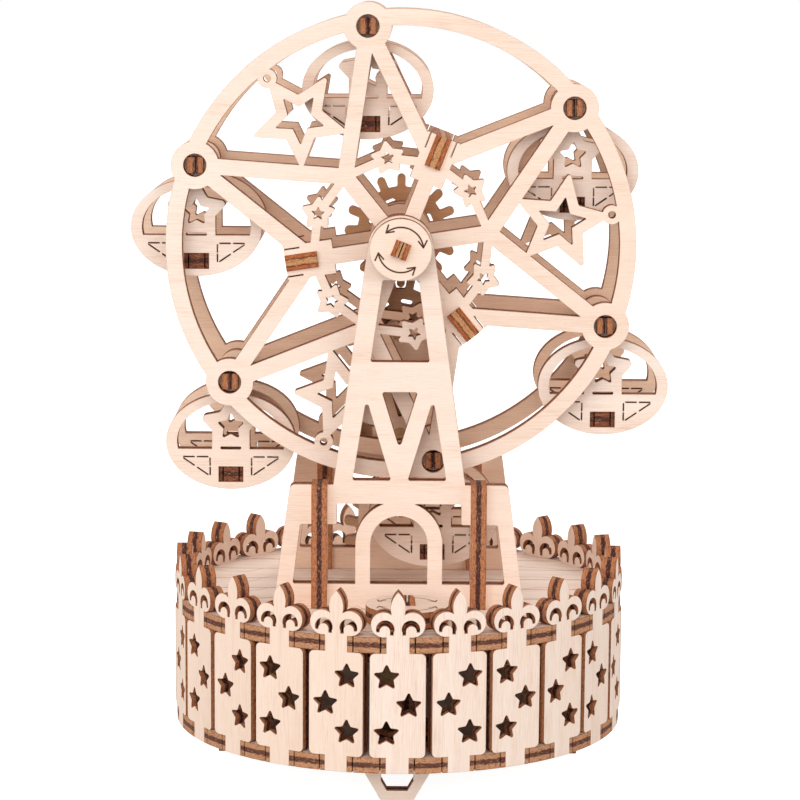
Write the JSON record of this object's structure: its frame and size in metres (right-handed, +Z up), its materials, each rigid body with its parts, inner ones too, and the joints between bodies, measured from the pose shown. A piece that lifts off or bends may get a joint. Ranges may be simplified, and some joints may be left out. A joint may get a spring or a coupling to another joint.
{
  "type": "crank ferris wheel toy",
  "caption": "Laser-cut plywood ferris wheel toy with hanging gondolas, star-cut rings, a round fenced drum, two lattice towers and a hand-turned gear drive.",
  "frame": {"origin": "on the floor under the middle of the drum", "axes": "+Z up, front of the toy at -Y, wheel turns about the Y direction"},
  "size_m": [0.1362, 0.116, 0.1956],
  "materials": {
    "plywood": "bare sanded plywood, laser-burnt edges",
    "pins": "bare turned wood"
  },
  "bodies": {
    "stand": {"base_plate": "plywood", "drum_gear_post": "pins", "feet": "plywood", "fence_group_1": "plywood", "fence_group_2": "plywood", "fence_group_3": "plywood", "fence_group_4": "plywood", "fence_group_5": "plywood", "fence_group_6": "plywood", "footstep_bearing": "plywood", "front_left_rib": "plywood", "front_right_rib": "plywood", "front_tower": "plywood", "gear_keepers": "plywood", "gear_pins": "pins", "platform": "plywood", "rear_left_rib": "plywood", "rear_right_rib": "plywood", "rear_tower": "plywood"},
    "wheel": {"front_ring": "plywood", "rear_ring": "plywood", "crossbar_1": "plywood", "crossbar_2": "plywood", "crossbar_3": "plywood", "wheel_axle": "plywood", "front_hub_disc": "plywood", "rear_hub_disc": "plywood", "hub_gear": "plywood"},
    "upper_idler": {"upper_idler_gear": "plywood"},
    "lower_idler": {"lower_idler_gear": "plywood"},
    "transfer": {"transfer_gear": "plywood"},
    "drum_drive": {"drum_gear": "plywood"},
    "crank": {"crank_axle": "plywood", "crank_disc": "plywood", "crank_pinion": "plywood"},
    "gondola_1": {"gondola_1_floor": "plywood", "gondola_1_front_side": "plywood", "gondola_1_pivot_bar": "plywood", "gondola_1_rear_side": "plywood"},
    "gondola_2": {"gondola_2_floor": "plywood", "gondola_2_front_side": "plywood", "gondola_2_pivot_bar": "plywood", "gondola_2_rear_side": "plywood"},
    "gondola_3": {"gondola_3_floor": "plywood", "gondola_3_front_side": "plywood", "gondola_3_pivot_bar": "plywood", "gondola_3_rear_side": "plywood"},
    "gondola_4": {"gondola_4_floor": "plywood", "gondola_4_front_side": "plywood", "gondola_4_pivot_bar": "plywood", "gondola_4_rear_side": "plywood"},
    "gondola_5": {"gondola_5_floor": "plywood", "gondola_5_front_side": "plywood", "gondola_5_pivot_bar": "plywood", "gondola_5_rear_side": "plywood"},
    "gondola_6": {"gondola_6_floor": "plywood", "gondola_6_front_side": "plywood", "gondola_6_pivot_bar": "plywood", "gondola_6_rear_side": "plywood"}
  },
  "joints": [
    {"name": "wheel_spin", "type": "hinge", "parent": "stand", "child": "wheel", "pos_m": [0, 0, 0.135], "axis": [0, 1, 0], "continuous": true},
    {"name": "gondola_1_swing", "type": "hinge", "parent": "wheel", "child": "gondola_1", "pos_m": [0.04304, 0, 0.16973], "axis": [0, 1, 0], "continuous": true},
    {"name": "gondola_2_swing", "type": "hinge", "parent": "wheel", "child": "gondola_2", "pos_m": [-0.00856, 0, 0.18963], "axis": [0, 1, 0], "continuous": true},
    {"name": "gondola_3_swing", "type": "hinge", "parent": "wheel", "child": "gondola_3", "pos_m": [-0.05159, 0, 0.15491], "axis": [0, 1, 0], "continuous": true},
    {"name": "gondola_4_swing", "type": "hinge", "parent": "wheel", "child": "gondola_4", "pos_m": [-0.04304, 0, 0.10027], "axis": [0, 1, 0], "continuous": true},
    {"name": "gondola_5_swing", "type": "hinge", "parent": "wheel", "child": "gondola_5", "pos_m": [0.00856, 0, 0.08037], "axis": [0, 1, 0], "continuous": true},
    {"name": "gondola_6_swing", "type": "hinge", "parent": "wheel", "child": "gondola_6", "pos_m": [0.05159, 0, 0.11509], "axis": [0, 1, 0], "continuous": true},
    {"name": "upper_idler_spin", "type": "hinge", "parent": "stand", "child": "upper_idler", "pos_m": [0, 0.027, 0.1078], "axis": [0, 1, 0], "continuous": true},
    {"name": "lower_idler_spin", "type": "hinge", "parent": "stand", "child": "lower_idler", "pos_m": [0, 0.027, 0.0806], "axis": [0, 1, 0], "continuous": true},
    {"name": "transfer_spin", "type": "hinge", "parent": "stand", "child": "transfer", "pos_m": [0, 0.027, 0.0534], "axis": [0, 1, 0], "continuous": true},
    {"name": "drum_drive_spin", "type": "hinge", "parent": "stand", "child": "drum_drive", "pos_m": [0, -0.0023, 0.037], "axis": [0, 0, 1], "continuous": true},
    {"name": "crank_spin", "type": "hinge", "parent": "stand", "child": "crank", "pos_m": [0.0022, -0.04134, 0.04], "axis": [0, 0, 1], "continuous": true}
  ],
  "couplings": [
    {"joint": "gondola_1_swing", "follows": "wheel_spin", "ratio": -1},
    {"joint": "gondola_2_swing", "follows": "wheel_spin", "ratio": -1},
    {"joint": "gondola_3_swing", "follows": "wheel_spin", "ratio": -1},
    {"joint": "gondola_4_swing", "follows": "wheel_spin", "ratio": -1},
    {"joint": "gondola_5_swing", "follows": "wheel_spin", "ratio": -1},
    {"joint": "gondola_6_swing", "follows": "wheel_spin", "ratio": -1},
    {"joint": "upper_idler_spin", "follows": "wheel_spin", "ratio": -1},
    {"joint": "lower_idler_spin", "follows": "wheel_spin", "ratio": 1},
    {"joint": "transfer_spin", "follows": "wheel_spin", "ratio": -1},
    {"joint": "drum_drive_spin", "follows": "wheel_spin", "ratio": -0.47059},
    {"joint": "crank_spin", "follows": "wheel_spin", "ratio": 1.3333}
  ]
}
